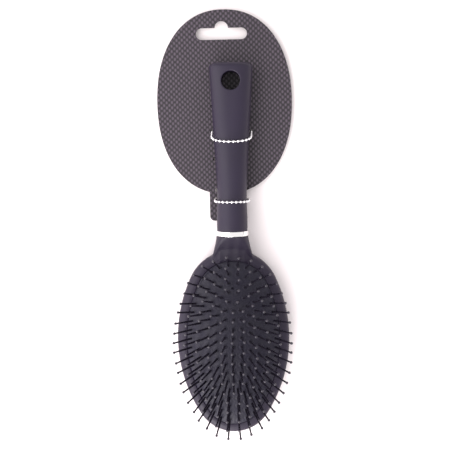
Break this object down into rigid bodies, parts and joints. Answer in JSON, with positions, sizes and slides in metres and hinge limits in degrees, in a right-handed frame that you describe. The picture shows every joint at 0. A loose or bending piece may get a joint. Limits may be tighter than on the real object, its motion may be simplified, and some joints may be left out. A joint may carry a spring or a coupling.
{
  "type": "paddle brush",
  "caption": "Oval cushion hair brush with ball-tipped pins in a sprung rubber pad, metal neck ring and straight grip, tied to a display card.",
  "frame": {"origin": "on the flat land of the head's back, under the middle of the oval", "axes": "+Y from the head towards the end of the handle, +Z the way the pins point, +X to the right seen from the pins with the handle up"},
  "size_m": [0.0848, 0.2699, 0.0395],
  "materials": {
    "coated_black": "soft-touch coated black",
    "carrier_plastic": "moulded, matt",
    "pad_rubber": "moulded, matt black",
    "pin_nylon": "moulded black, smooth",
    "plated_ring": "polished",
    "bead_metal": "polished",
    "card_film": "woven print on card"
  },
  "bodies": {
    "brush": {"head_body": "coated_black", "pad_carrier": "carrier_plastic", "cushion_pad": "pad_rubber", "ferrule_ring": "plated_ring", "handle_grip": "coated_black", "display_card": "card_film", "upper_tie_chain": "bead_metal", "upper_tie_sleeve": "bead_metal", "lower_tie_chain": "bead_metal", "lower_tie_sleeve": "bead_metal"},
    "centre_pins": {"centre_pins": "pin_nylon"},
    "side_pins_row_1": {"side_pins_row_1": "pin_nylon"},
    "end_pins_row_1": {"end_pins_row_1": "pin_nylon"},
    "side_pins_row_2": {"side_pins_row_2": "pin_nylon"},
    "end_pins_row_2": {"end_pins_row_2": "pin_nylon"},
    "side_pins_row_3": {"side_pins_row_3": "pin_nylon"},
    "end_pins_row_3": {"end_pins_row_3": "pin_nylon"},
    "side_pins_row_4": {"side_pins_row_4": "pin_nylon"},
    "end_pins_row_4": {"end_pins_row_4": "pin_nylon"},
    "side_pins_row_5": {"side_pins_row_5": "pin_nylon"},
    "end_pins_row_5": {"end_pins_row_5": "pin_nylon"}
  },
  "joints": [
    {"name": "cushion_press", "type": "slide", "parent": "brush", "child": "centre_pins", "axis": [0, 0, -1], "range_m": [0, 0.004], "stiffness_N_per_m": 300, "deforming": ["cushion_pad"]},
    {"name": "side_pins_row_1_press", "type": "slide", "parent": "brush", "child": "side_pins_row_1", "axis": [0, 0, -1], "range_m": [0, 0.000734], "stiffness_N_per_m": 100},
    {"name": "end_pins_row_1_press", "type": "slide", "parent": "brush", "child": "end_pins_row_1", "axis": [0, 0, -1], "range_m": [0, 0.000438], "stiffness_N_per_m": 100},
    {"name": "side_pins_row_2_press", "type": "slide", "parent": "brush", "child": "side_pins_row_2", "axis": [0, 0, -1], "range_m": [0, 0.00201], "stiffness_N_per_m": 100},
    {"name": "end_pins_row_2_press", "type": "slide", "parent": "brush", "child": "end_pins_row_2", "axis": [0, 0, -1], "range_m": [0, 0.00135], "stiffness_N_per_m": 100},
    {"name": "side_pins_row_3_press", "type": "slide", "parent": "brush", "child": "side_pins_row_3", "axis": [0, 0, -1], "range_m": [0, 0.00296], "stiffness_N_per_m": 100},
    {"name": "end_pins_row_3_press", "type": "slide", "parent": "brush", "child": "end_pins_row_3", "axis": [0, 0, -1], "range_m": [0, 0.00213], "stiffness_N_per_m": 100},
    {"name": "side_pins_row_4_press", "type": "slide", "parent": "brush", "child": "side_pins_row_4", "axis": [0, 0, -1], "range_m": [0, 0.00362], "stiffness_N_per_m": 100},
    {"name": "end_pins_row_4_press", "type": "slide", "parent": "brush", "child": "end_pins_row_4", "axis": [0, 0, -1], "range_m": [0, 0.00278], "stiffness_N_per_m": 100},
    {"name": "side_pins_row_5_press", "type": "slide", "parent": "brush", "child": "side_pins_row_5", "axis": [0, 0, -1], "range_m": [0, 0.00402], "stiffness_N_per_m": 100},
    {"name": "end_pins_row_5_press", "type": "slide", "parent": "brush", "child": "end_pins_row_5", "axis": [0, 0, -1], "range_m": [0, 0.00329], "stiffness_N_per_m": 100}
  ],
  "couplings": [
    {"joint": "side_pins_row_1_press", "follows": "cushion_press", "ratio": 0.1834},
    {"joint": "end_pins_row_1_press", "follows": "cushion_press", "ratio": 0.1093},
    {"joint": "side_pins_row_2_press", "follows": "cushion_press", "ratio": 0.5033},
    {"joint": "end_pins_row_2_press", "follows": "cushion_press", "ratio": 0.3381},
    {"joint": "side_pins_row_3_press", "follows": "cushion_press", "ratio": 0.74},
    {"joint": "end_pins_row_3_press", "follows": "cushion_press", "ratio": 0.5331},
    {"joint": "side_pins_row_4_press", "follows": "cushion_press", "ratio": 0.9047},
    {"joint": "end_pins_row_4_press", "follows": "cushion_press", "ratio": 0.6937},
    {"joint": "side_pins_row_5_press", "follows": "cushion_press", "ratio": 1.0039},
    {"joint": "end_pins_row_5_press", "follows": "cushion_press", "ratio": 0.8216}
  ]
}
